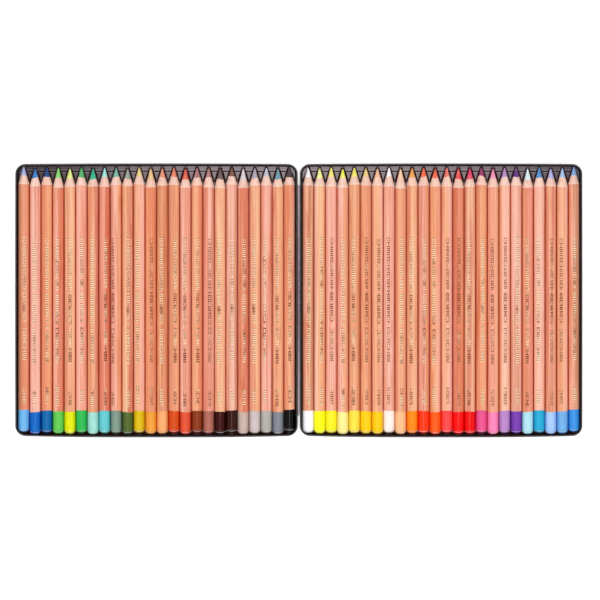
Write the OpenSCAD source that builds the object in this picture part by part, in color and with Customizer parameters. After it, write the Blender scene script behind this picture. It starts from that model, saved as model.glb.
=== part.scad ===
/* [Pencils] */
// Pencils lying side by side in each half
pencil_n = 24; // [8:1:26]
// Overall length of a sharpened pencil
pencil_l = 175.4; // [120:0.1:210]
// Diameter over the dipped end
pencil_d = 7.5; // [6:0.1:10]
// How much the bare cedar is thinner than the dip, per side
dip_step = 0.04; // [0.02:0.01:0.2]
// Gap between neighbouring pencils
pencil_gap = 0.16; // [0.1:0.01:2]
// Length of the sharpened cone
cone_l = 11.3; // [8:0.1:20]
// Radius of the worn tip of the pastel
tip_r = 0.5; // [0.2:0.05:1]
// Diameter of the pastel core
core_d = 4.4; // [2:0.1:5]
// Glue line round the core
glue_t = 0.03; // [0.02:0.01:0.1]
// Length of the dipped end
dip_l = 14.6; // [8:0.1:30]
// Thickness of the lacquer dip
dip_t = 0.3; // [0.15:0.05:0.6]
// Radius round the dipped end
dip_r = 2.7; // [1:0.1:2.9]
// How far the pencils shift lengthwise from each other
shift_max = 0.55; // [0:0.05:0.8]
// How far the pencils in the corners lie nearer the tip end
corner_shift = 0.8; // [0:0.1:1.2]

/* [Tin halves] */
// Room between the pencils and the rim of their half
top_room = 0.7; // [0.5:0.1:12]
// Thickness of the drawn sheet
sheet_t = 0.3; // [0.2:0.05:0.4]
// Outer radius of the corners seen from above
corner_r = 6.6; // [5:0.1:8]
// Outer radius where the wall turns into the floor
floor_r = 1.2; // [0.8:0.1:2]
// Diameter of the curled rim
curl_d = 1.0; // [0.8:0.05:1.8]
// Half of the space left between the two rims when shut
rim_gap = 0.05; // [0.02:0.01:0.3]
// Room between the furthest pencil tip and the edge of the insert
tip_room = 0.6; // [0.2:0.1:6]
// Room between the furthest dipped end and the edge of the insert
end_room = 0.8; // [0.2:0.05:6]

/* [Inserts] */
// Thickness of the formed sheet of the insert
insert_t = 0.45; // [0.3:0.05:0.8]
// Gap between the insert and the wall of the tin
insert_gap = 0.15; // [0.05:0.05:0.6]
// Gap between a pencil and the side of its channel
channel_gap = 0.12; // [0.08:0.01:0.3]
// Gap between a pencil and the bottom of its channel
seat_gap = 0.05; // [0.03:0.01:0.12]
// How far the ridges between channels stay below the pencil axis
ridge_drop = 2.0; // [1.6:0.1:2.6]
// How far the land round the tips stays below the pencil axis
land_drop = 0.8; // [0.7:0.05:1.5]
// Thickness of the land and of the end shelf
land_t = 0.9; // [0.7:0.05:1.2]
// How much further each channel runs than its pencil's cone
tip_slack = 1.9; // [1:0.1:3]
// How far the land starts past the point where the channels begin to narrow
land_back = 0.4; // [0.2:0.1:1]
// How far the land reaches past the axes of the outermost pencils
land_over = 0.3; // [0.1:0.1:1]
// How much lower the corners beside the outermost tips lie
corner_drop = 1.0; // [0.5:0.1:1.6]
// Width of the crease between the land and the end shelf
crease_w = 0.55; // [0.3:0.05:1]
// Depth of the crease
crease_d = 0.5; // [0.2:0.05:0.6]
// How far the crease lies back from the tips
crease_back = 2.0; // [1.5:0.1:4]
// How much lower the end shelf lies than the land
shelf_step = 0.1; // [0:0.05:0.3]

/* [Hinge] */
// Length of the hinge along the tin
hinge_l = 152; // [60:1:165]
// Clearance between a knuckle and the rims beside it
knuckle_clear = 0.08; // [0.05:0.01:0.5]
// Diameter of the wire pin
pin_d = 0.6; // [0.5:0.05:1.2]
// Running clearance between pin and knuckle, per side
pin_gap = 0.03; // [0.02:0.01:0.06]
// Thickness of the hinge strip
leaf_t = 0.29; // [0.2:0.01:0.3]
// Knuckles on both leaves together, an odd number
knuckle_n = 19; // [5:2:31]
// Gap between neighbouring knuckles
knuckle_gap = 0.25; // [0.1:0.05:0.6]
// How far the leaves reach down the wall from the rim
leaf_drop = 5; // [3:0.1:7]
// Clearance between the rim and the web of a leaf
web_gap = 0.3; // [0.1:0.05:1]
// Thickness of the peened heads of the pin
head_t = 0.35; // [0.2:0.05:0.8]
// How far the peened heads stand out past the pin's side
head_lip = 0.18; // [0.1:0.02:0.25]

/* [Hidden] */
$fn = 64;
halves = ["base", "lid"];

function pencil_name(half, i) = str(half, "_pencil_", i < 10 ? "0" : "", i);

// Pencils
dip_rad = pencil_d / 2;
barrel_rad = dip_rad - dip_step;
core_rad = core_d / 2;
pitch = pencil_d + pencil_gap;
cone_angle = atan((barrel_rad - tip_r) / (cone_l - tip_r));
feather_l = cone_l * (barrel_rad - core_rad) / (barrel_rad - tip_r);
dome_r = dip_r - dip_t;
// Where the core starts: clear of the rounded inside of the dip
core_z = dip_t + glue_t + dome_r - sqrt(pow(dome_r, 2) - pow(max(0, core_rad - dip_rad + dip_r), 2));

// Hinge
knuckle_rad = pin_d / 2 + pin_gap + leaf_t;
knuckle_pitch = hinge_l / knuckle_n;
open_gap = 2 * (knuckle_rad + knuckle_clear);
wall_x = open_gap / 2 + curl_d - sheet_t;
web_drop = curl_d + rim_gap + web_gap;

// Plan of one half; the curl stands out past the wall, and the insert stands just inside it
channel_rad = dip_rad + channel_gap;
edge_in = curl_d + insert_gap;
row_w = pencil_n * pencil_d + (pencil_n - 1) * pencil_gap;
row_l = shift_max + pencil_l + shift_max + corner_shift;
half_w = row_w + 2 * (channel_gap + insert_t + edge_in);
half_l = row_l + tip_room + end_room + insert_t + 2 * edge_in;
half_x = (half_w + open_gap) / 2;
end_y = -half_l / 2 + edge_in + insert_t + end_room + shift_max;
cone_y = end_y + pencil_l - cone_l;

// Levels, from the underside of the tin
axis_z = sheet_t + insert_t + channel_rad;
pencil_z = axis_z - channel_gap + seat_gap;
ridge_z = axis_z - ridge_drop;
land_z = axis_z - land_drop;
half_h = pencil_z + dip_rad + top_room;
curl_z = half_h - rim_gap - curl_d / 2;

// Insert
insert_w = half_w - 2 * edge_in;
insert_l = half_l - 2 * edge_in;
insert_r = corner_r - edge_in;
foot_in = floor_r - sheet_t;
crease_y = end_y + pencil_l - crease_back;
land_y = cone_y + tip_slack + land_back;

dips = [
    ["lightskyblue", "mediumblue", "steelblue", "limegreen", "yellowgreen", "mediumseagreen",
     "aquamarine", "mediumturquoise", "darkseagreen", "darkolivegreen", "goldenrod", "sandybrown",
     "burlywood", "chocolate", "tomato", "sienna", "rosybrown", "saddlebrown",
     "maroon", "tan", "thistle", "silver", "slategray", "black"],
    ["white", "yellow", "khaki", "lemonchiffon", "gold", "orange",
     "goldenrod", "seashell", "peachpuff", "darkorange", "orangered", "coral",
     "salmon", "red", "crimson", "palevioletred", "hotpink", "plum",
     "rebeccapurple", "powderblue", "deepskyblue", "lightsteelblue", "cornflowerblue", "dodgerblue"]
];

// Pencils lie a little out of line, as they do once used; h is 0 for the base and 1 for the lid
function shift(h, i) =
    (i == 1 || i == pencil_n ? corner_shift : 0) + shift_max * sin(137.5 * i + 80 * h);
function pencil_x(i) = (i - (pencil_n + 1) / 2) * pitch;

// ---- Pencils: drawn standing on the dipped end, then laid down along Y ----

module right_half(h) intersection() {
    translate([0, -h]) square([h, 3 * h]);
    children();
}

// Outline of a round end: radius r, from height z0 up to z1, with its corner rounded by c
module round_end(r, z0, z1, c) {
    translate([0, z0]) square([r - c, z1 - z0]);
    translate([0, z0 + c]) square([r, z1 - z0 - c]);
    translate([r - c, z0 + c]) circle(c);
}

module casing() rotate_extrude() {
    inner = dip_rad - dip_t - glue_t;
    start = dip_t + glue_t;
    difference() {
        union() {
            right_half(pencil_l) round_end(inner, start, dip_l + dip_t, dome_r);
            translate([0, dip_l]) square([barrel_rad, pencil_l - cone_l - dip_l]);
            translate([0, pencil_l - cone_l])
                polygon([[0, 0], [barrel_rad, 0], [core_rad, feather_l], [0, feather_l]]);
        }
        square([core_rad + glue_t, pencil_l]);
    }
}

module core() rotate_extrude() {
    ball_z = pencil_l - tip_r;
    shoulder = pencil_l - cone_l + feather_l;
    polygon([
        [0, core_z], [core_rad, core_z], [core_rad, shoulder],
        [tip_r * cos(cone_angle), ball_z + tip_r * sin(cone_angle)], [0, ball_z]
    ]);
    right_half(pencil_l) translate([0, ball_z]) circle(tip_r);
}

module dip() rotate_extrude() difference() {
    right_half(pencil_l) round_end(dip_rad, 0, dip_l - glue_t, dip_r);
    right_half(pencil_l) round_end(dip_rad - dip_t, dip_t, dip_l + dip_t, dome_r);
}

module pencil(h, i) {
    side = h == 0 ? -1 : 1;
    translate([side * half_x + pencil_x(i), end_y + shift(h, i), pencil_z]) rotate([-90, 0, 0]) {
        color("peru") casing();
        color(dips[h][(i - 1) % len(dips[h])]) {
            core();
            dip();
        }
    }
}

// ---- Drawn halves of the tin ----

// Runs a profile round a rounded rectangle; the profile's x counts out from the corner centres
module round_rim(w, l, r) {
    for (quarter = [0:3]) rotate([0, 0, 90 * quarter]) {
        across = quarter % 2 == 0 ? w : l;
        along = quarter % 2 == 0 ? l : w;
        translate([across / 2 - r, along / 2 - r, 0]) rotate_extrude(angle = 90) children();
        translate([across / 2 - r, along / 2 - r, 0])
            rotate([90, 0, 0]) linear_extrude(along - 2 * r) children();
    }
}

// Section of the wall: floor, drawn radius, wall, and the rim curled outwards
module wall_section() {
    wall = corner_r - curl_d + sheet_t;
    square([wall - floor_r, sheet_t]);
    translate([wall - floor_r, floor_r]) intersection() {
        difference() {
            circle(floor_r);
            circle(floor_r - sheet_t);
        }
        translate([0, -floor_r]) square(floor_r);
    }
    translate([wall - sheet_t, floor_r]) square([sheet_t, curl_z - floor_r]);
    translate([corner_r - curl_d / 2, curl_z]) difference() {
        circle(curl_d / 2);
        circle(curl_d / 2 - sheet_t);
        translate([-(curl_d / 2 - sheet_t), -curl_d]) square([curl_d / 2 - sheet_t, curl_d]);
    }
}

module shell() {
    round_rim(half_w, half_l, corner_r) wall_section();
    translate([corner_r - half_w / 2, corner_r - half_l / 2, 0])
        cube([half_w - 2 * corner_r, half_l - 2 * corner_r, sheet_t]);
}

// ---- Formed inserts ----

// Rounded plate from height z0 up to z1, drawn in by e from the insert's edge all round
module insert_plan(z0, z1, e) translate([0, 0, z0]) linear_extrude(z1 - z0) {
    square([insert_w - 2 * e, insert_l - 2 * insert_r], center = true);
    square([insert_w - 2 * insert_r, insert_l - 2 * e], center = true);
    for (x = [-1, 1]) for (y = [-1, 1])
        translate([x * (insert_w / 2 - insert_r), y * (insert_l / 2 - insert_r)])
            circle(insert_r - e);
}

// Shape of a channel: the pencil's own form, grown by g all round
module channel(g) {
    back = pencil_l - cone_l + tip_slack;
    grown = dip_rad + g;
    rotate([-90, 0, 0]) rotate_extrude() polygon([
        [0, -half_l], [grown, -half_l], [grown, back],
        [grown - barrel_rad + tip_r, back + cone_l], [0, back + cone_l]
    ]);
}

module channels(g) {
    for (i = [1:pencil_n]) {
        corner = i == 1 || i == pencil_n ? corner_shift : 0;
        translate([pencil_x(i), end_y + corner, axis_z]) channel(g);
    }
}

module insert() {
    back_y = -insert_l / 2;
    difference() {
        intersection() {
            // The edge stands clear of the drawn radius of the tin's floor
            union() {
                insert_plan(floor_r, land_z, 0);
                insert_plan(sheet_t, floor_r + sheet_t, foot_in);
            }
            union() {
                // Channels of the barrels, up to the ridges between them
                intersection() {
                    channels(channel_gap + insert_t);
                    translate([-insert_w, back_y, 0])
                        cube([2 * insert_w, land_y + land_t - back_y, ridge_z]);
                }
                // Channels of the cones, up to the land
                intersection() {
                    channels(channel_gap + insert_t);
                    translate([-insert_w, land_y, 0]) cube([2 * insert_w, insert_l, land_z]);
                }
                translate([-insert_w, land_y, land_z - land_t])
                    cube([2 * insert_w, insert_l, land_t]);
                // Upright edges at both ends
                translate([-insert_w, back_y, sheet_t])
                    cube([2 * insert_w, insert_t, ridge_z - sheet_t]);
                translate([-insert_w, insert_l / 2 - insert_t, sheet_t])
                    cube([2 * insert_w, insert_t, land_z - sheet_t]);
            }
        }
        intersection() {
            channels(channel_gap);
            translate([-insert_w, back_y + insert_t, 0])
                cube([2 * insert_w, insert_l, half_h]);
        }
        translate([-insert_w, crease_y - crease_w / 2, land_z - crease_d])
            cube([2 * insert_w, crease_w, 2 * crease_d]);
        translate([-insert_w, crease_y, land_z - shelf_step])
            cube([2 * insert_w, insert_l, crease_d + shelf_step]);
        // Corners beside the outermost tips
        for (side = [-1, 1])
            translate([side * (pencil_x(pencil_n) + land_over + insert_w / 2), land_y + insert_l / 2 - land_t,
                       land_z - corner_drop + half_h / 2])
                cube([insert_w, insert_l, half_h], center = true);
    }
}

// ---- Hinge along the facing sides ----

// Keeps the stretches of knuckles that belong to one leaf: first is 0 for the base, 1 for the lid
module at_knuckles(first) {
    for (k = [first:2:knuckle_n - 1])
        translate([0, -hinge_l / 2 + k * knuckle_pitch + knuckle_gap / 2, 0])
            rotate([-90, 0, 0]) linear_extrude(knuckle_pitch - knuckle_gap) children();
}

// Drawn for the side towards -X, round the pin at the rim height
module hinge_leaf(first) {
    translate([0, 0, half_h]) {
        at_knuckles(first) difference() {
            union() {
                circle(knuckle_rad);
                translate([-knuckle_rad, 0]) square([leaf_t, web_drop + leaf_t / 2]);
            }
            circle(pin_d / 2 + pin_gap);
        }
        translate([-wall_x, -hinge_l / 2, -web_drop - leaf_t])
            cube([wall_x - knuckle_rad + leaf_t, hinge_l, leaf_t]);
        translate([-wall_x, -hinge_l / 2, -leaf_drop])
            cube([leaf_t, hinge_l, leaf_drop - web_drop]);
    }
}

module pin() translate([0, 0, half_h]) rotate([-90, 0, 0]) {
    cylinder(h = hinge_l + knuckle_gap, d = pin_d, center = true);
    for (end = [-1, 1]) translate([0, 0, end * (hinge_l + knuckle_gap + head_t) / 2])
        cylinder(h = head_t, d = pin_d + 2 * head_lip, center = true);
}

module base_shell() color("dimgray") translate([-half_x, 0, 0]) shell();
module lid_shell() color("dimgray") translate([half_x, 0, 0]) shell();
module base_insert() color("darkslategray") translate([-half_x, 0, 0]) insert();
module lid_insert() color("darkslategray") translate([half_x, 0, 0]) insert();
module base_hinge_leaf() color("lightsteelblue") hinge_leaf(0);
module lid_hinge_leaf() color("lightsteelblue") mirror([1, 0, 0]) hinge_leaf(1);
module hinge_pin() color("silver") pin();

base_shell();
base_insert();
base_hinge_leaf();
hinge_pin();
lid_shell();
lid_insert();
lid_hinge_leaf();
for (h = [0, 1]) for (i = [1:pencil_n])
    pencil(h, i);
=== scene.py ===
import math
import random

import bmesh
import bpy
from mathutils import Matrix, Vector


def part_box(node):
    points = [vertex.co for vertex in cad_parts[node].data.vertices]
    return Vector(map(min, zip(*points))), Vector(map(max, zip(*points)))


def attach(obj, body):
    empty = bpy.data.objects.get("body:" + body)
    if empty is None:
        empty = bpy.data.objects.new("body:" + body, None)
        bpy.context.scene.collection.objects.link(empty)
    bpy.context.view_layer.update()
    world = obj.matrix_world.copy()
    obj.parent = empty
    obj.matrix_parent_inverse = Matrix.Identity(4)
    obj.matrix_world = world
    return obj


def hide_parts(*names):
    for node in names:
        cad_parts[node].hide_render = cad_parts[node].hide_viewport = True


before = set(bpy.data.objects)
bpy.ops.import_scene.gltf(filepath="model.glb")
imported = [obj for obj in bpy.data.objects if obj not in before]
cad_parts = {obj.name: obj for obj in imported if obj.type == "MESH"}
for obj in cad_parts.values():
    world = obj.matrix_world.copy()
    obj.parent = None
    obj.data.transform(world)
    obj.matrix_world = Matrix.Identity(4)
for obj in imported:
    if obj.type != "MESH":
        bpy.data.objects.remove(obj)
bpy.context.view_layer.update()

mm = 0.001
white = (1, 1, 1, 1)
print("frame loaded:", len(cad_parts), "nodes")


# Colours are written as they show on a screen, 0 to 255
def screenColour(red, green, blue):
    def linear(v):
        v = v / 255
        return v / 12.92 if v < 0.04 else ((v + 0.055) / 1.055) ** 2.4
    return (linear(red), linear(green), linear(blue), 1.0)


def mixedWith(colour, other, share):
    return tuple(a + (b - a) * share for a, b in zip(colour, other))


def shaded(colour, share):
    return tuple(min(1.0, v * share) for v in colour[:3]) + (1,)


# Shader helpers: a value that is a socket is linked, anything else is set on the socket
def feed(tree, socket, value):
    if isinstance(value, bpy.types.NodeSocket):
        tree.links.new(value, socket)
    else:
        socket.default_value = value


def put(tree, kind, inputs=None, **settings):
    node = tree.nodes.new("ShaderNode" + kind)
    for key, value in settings.items():
        setattr(node, key, value)
    for key, value in (inputs or {}).items():
        feed(tree, node.inputs[key], value)
    return node


def calc(tree, operation, *values):
    return put(tree, "Math", dict(enumerate(values)), operation=operation).outputs[0]


def axes(tree, vector):
    return put(tree, "SeparateXYZ", {0: vector}).outputs


def projected(tree, vector, side):
    return put(tree, "VectorMath", {0: vector, 1: side}, operation="DOT_PRODUCT").outputs["Value"]


def blendColour(tree, factor, a, b, how="MIX"):
    node = put(tree, "Mix", data_type="RGBA", blend_type=how)
    for index, value in ((0, factor), (6, a), (7, b)):
        feed(tree, node.inputs[index], value)
    return node.outputs[2]


# Tints a colour where the mask is on, as far as the share says
def tinted(tree, colour, mask, share, tint):
    return blendColour(tree, calc(tree, "MULTIPLY", mask, share), colour, tint)


# Noise that is stretched by a scale for each axis
def speckle(tree, vector, scale, detail=2.0, roughness=0.5, seed=(0, 0, 0)):
    scaled = put(tree, "VectorMath", {0: vector, 1: scale}, operation="MULTIPLY").outputs[0]
    moved = put(tree, "VectorMath", {0: scaled, 1: seed}, operation="ADD").outputs[0]
    return put(tree, "TexNoise", {"Vector": moved, "Scale": 1.0, "Detail": detail,
                                  "Roughness": roughness}).outputs["Fac"]


def between(tree, value, low, high, toLow=0.0, toHigh=1.0):
    node = put(tree, "MapRange", {"Value": value, "From Min": low, "From Max": high,
                                  "To Min": toLow, "To Max": toHigh}, clamp=True)
    return node.outputs["Result"]


# The same for a place and a span in millimetres
def within(tree, place, span, *levels):
    return between(tree, place, span[0] * mm, span[1] * mm, *levels)


def newGroup(name, inputs, outputs):
    tree = bpy.data.node_groups.new(name, "ShaderNodeTree")
    for label, kind in inputs:
        tree.interface.new_socket(label, in_out="INPUT", socket_type="NodeSocket" + kind)
    for label, kind in outputs:
        tree.interface.new_socket(label, in_out="OUTPUT", socket_type="NodeSocket" + kind)
    return tree, tree.nodes.new("NodeGroupInput").outputs, tree.nodes.new("NodeGroupOutput").inputs


def useGroup(tree, group, inputs):
    node = tree.nodes.new("ShaderNodeGroup")
    node.node_tree = group
    for key, value in inputs.items():
        feed(tree, node.inputs[key], value)
    return node.outputs


def newMaterial(name):
    material = bpy.data.materials.new(name)
    material.use_nodes = True
    tree = material.node_tree
    tree.nodes.clear()
    shader = put(tree, "BsdfPrincipled")
    tree.links.new(shader.outputs[0], put(tree, "OutputMaterial").inputs["Surface"])
    where = put(tree, "TexCoord").outputs["Object"]
    return material, tree, shader.inputs, where


def bump(tree, shader, height, depth):
    node = put(tree, "Bump", {"Height": height, "Distance": depth, "Strength": 1.0})
    tree.links.new(node.outputs[0], shader["Normal"])


# Cedar figure: which of the two glued slats, growth rings, fibres and short pores
def buildCedarFigure():
    tree, given, out = newGroup(
        "cedarFigure",
        [("Where", "Vector"), ("Seed", "Vector"), ("Seam Side", "Vector"), ("Seam Shift", "Float"),
         ("Ring Side", "Vector"), ("Ring Gap", "Float"), ("Ring Sway", "Float")],
        [("Slat", "Float"), ("Rings", "Float"), ("Fibre", "Float"), ("Pores", "Float"),
         ("Streaks", "Float"), ("Flames", "Float")])
    where, seed, slatShift = given["Where"], given["Seed"], 3.7 * mm
    sway = speckle(tree, where, (70, 9, 70), 1.0, seed=seed)
    side = projected(tree, where, given["Seam Side"])
    slat = calc(tree, "GREATER_THAN", calc(tree, "SUBTRACT", side, given["Seam Shift"]), 0.0)
    across = projected(tree, where, given["Ring Side"])
    across = calc(tree, "ADD", across, calc(tree, "MULTIPLY", sway, given["Ring Sway"]))
    across = calc(tree, "ADD", across, calc(tree, "MULTIPLY", slat, slatShift))
    wave = calc(tree, "SINE", calc(tree, "DIVIDE", across, given["Ring Gap"]))
    feed(tree, out["Slat"], slat)
    feed(tree, out["Rings"], calc(tree, "POWER", calc(tree, "MULTIPLY_ADD", wave, 0.5, 0.5), 2.2))
    for part, scale, detail, roughness, low, high in (
            ("Fibre", (1500, 16, 1500), 3.0, 0.6, 0.3, 0.7),
            ("Pores", (4200, 190, 4200), 2.0, 0.5, 0.6, 0.72),
            ("Streaks", (620, 9, 620), 2.0, 0.6, 0.44, 0.6),
            ("Flames", (330, 24, 330), 2.0, 0.6, 0.58, 0.68)):
        grain = speckle(tree, where, scale, detail, roughness, seed)
        feed(tree, out[part], between(tree, grain, low, high))
    return tree


# Wear along edges, broken up by noise; 1 where the finish has gone
def buildEdgeWear():
    tree, given, out = newGroup("edgeWear", [("Where", "Vector"), ("Amount", "Float")],
                                [("Worn", "Float"), ("Scuffs", "Float")])
    point = put(tree, "NewGeometry").outputs["Pointiness"]
    broken = speckle(tree, given["Where"], (900, 900, 900), 4.0, 0.7)
    reach = calc(tree, "MULTIPLY", calc(tree, "MULTIPLY", broken, given["Amount"]),
                 between(tree, point, 0.52, 0.62))
    feed(tree, out["Worn"], between(tree, reach, 0.45, 0.6))
    fine = speckle(tree, given["Where"], (60, 1600, 900), 3.0, 0.6)
    coarse = speckle(tree, given["Where"], (55, 55, 55))
    feed(tree, out["Scuffs"], calc(tree, "MULTIPLY", between(tree, fine, 0.55, 0.75),
                                   between(tree, coarse, 0.45, 0.65)))
    return tree


# Pastel and wood dust that settles in patches on what faces up
def buildDust():
    tree, given, out = newGroup("pastelDust", [("Where", "Vector"), ("Amount", "Float")],
                                [("Dust", "Float"), ("Crumbs", "Float")])
    cloud = speckle(tree, given["Where"], (160, 160, 160), 4.0, 0.65)
    crumbs = speckle(tree, given["Where"], (2600, 2600, 2600), 1.0)
    up = axes(tree, put(tree, "NewGeometry").outputs["Normal"])[2]
    level = calc(tree, "MULTIPLY", between(tree, up, 0.2, 0.9), given["Amount"])
    feed(tree, out["Dust"], calc(tree, "MULTIPLY", between(tree, cloud, 0.42, 0.7), level))
    feed(tree, out["Crumbs"], calc(tree, "MULTIPLY", between(tree, crumbs, 0.7, 0.74), level))
    return tree


# The soft unevenness of sprayed or dipped lacquer, and the smears of handling on it
def buildLacquerSkin():
    tree, given, out = newGroup("lacquerSkin", [("Where", "Vector"), ("Size", "Float")],
                                [("Peel", "Float"), ("Smears", "Float")])
    size = put(tree, "CombineXYZ", {axis: given["Size"] for axis in range(3)}).outputs[0]
    feed(tree, out["Peel"], speckle(tree, given["Where"], size, 1.0))
    smears = speckle(tree, given["Where"], (260, 60, 260), 3.0, 0.6)
    feed(tree, out["Smears"], between(tree, smears, 0.35, 0.7))
    return tree


cedarFigure = buildCedarFigure()
edgeWear = buildEdgeWear()
pastelDust = buildDust()
lacquerSkin = buildLacquerSkin()
print("shader groups built")


# Meshes
def makePiece(name, points, faces, materials, faceSlots=None, sharp=40.0, flatLevels=False):
    mesh = bpy.data.meshes.new(name)
    mesh.from_pydata(points, [], faces)
    for material in materials:
        mesh.materials.append(material)
    if faceSlots:
        mesh.polygons.foreach_set("material_index", faceSlots)
    work = bmesh.new()
    work.from_mesh(mesh)
    bmesh.ops.remove_doubles(work, verts=work.verts, dist=1e-7)
    bmesh.ops.recalc_face_normals(work, faces=work.faces)
    for face in work.faces:
        face.smooth = True
    work.to_mesh(mesh)
    work.free()
    mesh.set_sharp_from_angle(angle=math.radians(sharp))
    if flatLevels:
        mesh.polygons.foreach_set("use_smooth", [abs(face.normal.z) < 0.995 for face in mesh.polygons])
    piece = bpy.data.objects.new(name, mesh)
    bpy.context.scene.collection.objects.link(piece)
    return piece


# Turns rings of (y, radius, wave share) about Y; a ring of radius 0 is a pole,
# and a radius given as a function is taken where the wave has moved the point
def lathe(rings, around, wave=None):
    points, faces, rows = [], [], []
    for y, radius, share in rings:
        if radius == 0:
            rows.append([len(points)])
            points.append((0, y, 0))
            continue
        rows.append(list(range(len(points), len(points) + around)))
        for k in range(around):
            angle = 2 * math.pi * k / around
            at = y + (wave(angle) * share if wave and share else 0)
            out = radius(at) if callable(radius) else radius
            points.append((out * math.sin(angle), at, out * math.cos(angle)))
    spans = []
    for j, (low, high) in enumerate(zip(rows, rows[1:])):
        for k in range(around):
            n = (k + 1) % around
            if len(low) == 1:
                faces.append((low[0], high[k], high[n]))
            elif len(high) == 1:
                faces.append((low[k], high[0], low[n]))
            else:
                faces.append((low[k], high[k], high[n], low[n]))
            spans.append(j)
    return points, faces, spans


# A closed wave round the pencil, from a few sines with seeded phases
def roundWave(dice, slant, ripple):
    parts = [(slant, 1), (ripple, 2), (ripple * 0.8, 3), (ripple * 0.5, 5)]
    waves = [(size * dice.uniform(0.4, 1.0) * mm, n, dice.uniform(0, 2 * math.pi)) for size, n in parts]
    return lambda angle: sum(size * math.sin(n * angle + phase) for size, n, phase in waves)


# Camera straight above the open tin
camera = {"lens": 300, "x": 0.8 * mm, "y": 0.25 * mm, "height": 3.319}
cam = bpy.data.objects.new("camera", bpy.data.cameras.new("camera"))
cam.data.lens = camera["lens"]
cam.location = (camera["x"], camera["y"], camera["height"])
cam.data.clip_start, cam.data.clip_end = 0.05, 20
bpy.context.scene.collection.objects.link(cam)
bpy.context.scene.camera = cam


# Pencils; a pair of numbers is the least and the most among them
pencils = {
    "barrelRadius": 3.73, "dipRadius": 3.79, "coreRadius": (2.0, 2.4), "tipRadius": 0.5,
    "coneLength": (11.3, 13.0), "dipLength": 14.3, "dipReach": 0.4,
    # the dip's rounded end: distance from the end, and how far it stays back from the side
    "dipEnd": ((0.0, 3.1), (0.02, 2.5), (0.1, 1.9), (0.28, 1.4), (0.5, 1.09), (0.75, 0.85), (1.05, 0.62),
               (1.35, 0.42), (1.65, 0.25), (1.9, 0.15), (2.2, 0.07), (2.55, 0.02), (2.9, 0.0)),
    # how far the lacquer's cut edge and the dip's edge wander: once round, and in ripples
    "cutWave": (0.55, 0.22), "dipWave": (0.25, 0.07),
    "around": 56, "coreAround": 40, "seed": 4107, "lidSeed": 100,
}
palette = {
    "sky": (110, 180, 235), "lavender": (175, 185, 235), "royal": (5, 105, 195),
    "azure": (20, 130, 210), "petrol": (10, 105, 170), "navy": (40, 80, 140),
    "apple": (102, 200, 84), "lime": (120, 220, 100), "lemonGreen": (225, 230, 5),
    "paleLime": (225, 240, 120), "emerald": (50, 185, 85), "jade": (70, 180, 100),
    "mint": (160, 220, 210), "teal": (35, 185, 145), "turquoise": (104, 202, 208),
    "aqua": (150, 230, 225), "sage": (125, 150, 135), "seaGreen": (110, 180, 160),
    "olive": (85, 105, 50), "lichen": (150, 165, 155), "mustard": (220, 185, 5),
    "honey": (240, 210, 120), "apricot": (240, 160, 60), "wheat": (235, 190, 120),
    "sand": (245, 170, 110), "clay": (235, 140, 100), "rust": (215, 80, 30),
    "terracotta": (235, 120, 80), "brick": (225, 85, 55), "paprika": (230, 90, 60),
    "chestnut": (140, 60, 30), "heather": (180, 120, 120), "rosewood": (175, 105, 90),
    "umber": (65, 25, 15), "taupe": (115, 95, 95), "sepia": (60, 30, 10),
    "cocoa": (130, 85, 70), "stone": (200, 175, 165), "mist": (215, 210, 215),
    "pearl": (205, 190, 190), "dove": (175, 165, 180), "ash": (180, 175, 170),
    "frost": (195, 200, 215), "slate": (130, 135, 145), "harbour": (110, 160, 175),
    "black": (20, 8, 8), "charcoal": (90, 75, 75), "white": (252, 250, 252),
    "sunYellow": (253, 253, 30), "paleYellow": (250, 250, 140), "yellow": (250, 240, 40),
    "butter": (250, 240, 100), "cream": (250, 238, 150), "acid": (245, 245, 30),
    "straw": (250, 225, 75), "primrose": (255, 240, 80), "gold": (255, 208, 10),
    "maize": (250, 215, 110), "amber": (250, 205, 20), "peach": (250, 190, 140),
    "shell": (255, 238, 230), "blush": (250, 205, 160), "orange": (255, 140, 5),
    "tangerine": (250, 160, 50), "vermilion": (253, 62, 30), "flame": (255, 100, 40),
    "scarlet": (255, 95, 30), "ember": (245, 90, 50), "coral": (255, 75, 75),
    "salmon": (240, 110, 90), "red": (250, 15, 20), "poppy": (240, 60, 65),
    "crimson": (238, 5, 15), "raspberry": (235, 50, 100), "magenta": (232, 85, 145),
    "plum": (160, 60, 110), "pink": (250, 135, 185), "lilac": (185, 135, 200),
    "purple": (120, 65, 175), "violet": (105, 50, 140), "ice": (175, 225, 240),
    "paleIce": (215, 240, 245), "cyan": (40, 170, 210), "denim": (50, 135, 200),
    "periwinkle": (165, 200, 250), "iris": (170, 170, 230), "skyBlue": (115, 175, 230),
    "powder": (160, 195, 235), "cornflower": (60, 145, 225), "bluebell": (120, 165, 225),
}
# Each pencil: colour of the dip, colour of the pastel
sorts = {
    "base": """sky lavender, royal azure, petrol navy, apple lime, lemonGreen paleLime, emerald jade,
        mint teal, turquoise aqua, sage seaGreen, olive lichen, mustard honey, apricot wheat,
        sand clay, rust terracotta, brick paprika, chestnut heather, rosewood heather, umber taupe,
        sepia cocoa, stone mist, pearl dove, ash frost, slate harbour, black charcoal""",
    "lid": """white white, sunYellow paleYellow, yellow butter, cream acid, straw primrose, gold maize,
        amber peach, shell white, peach blush, orange tangerine, vermilion flame, scarlet ember,
        coral salmon, red poppy, crimson raspberry, magenta plum, pink pink, lilac lilac,
        purple violet, ice paleIce, cyan denim, periwinkle iris, skyBlue powder,
        cornflower bluebell""",
}
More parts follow.
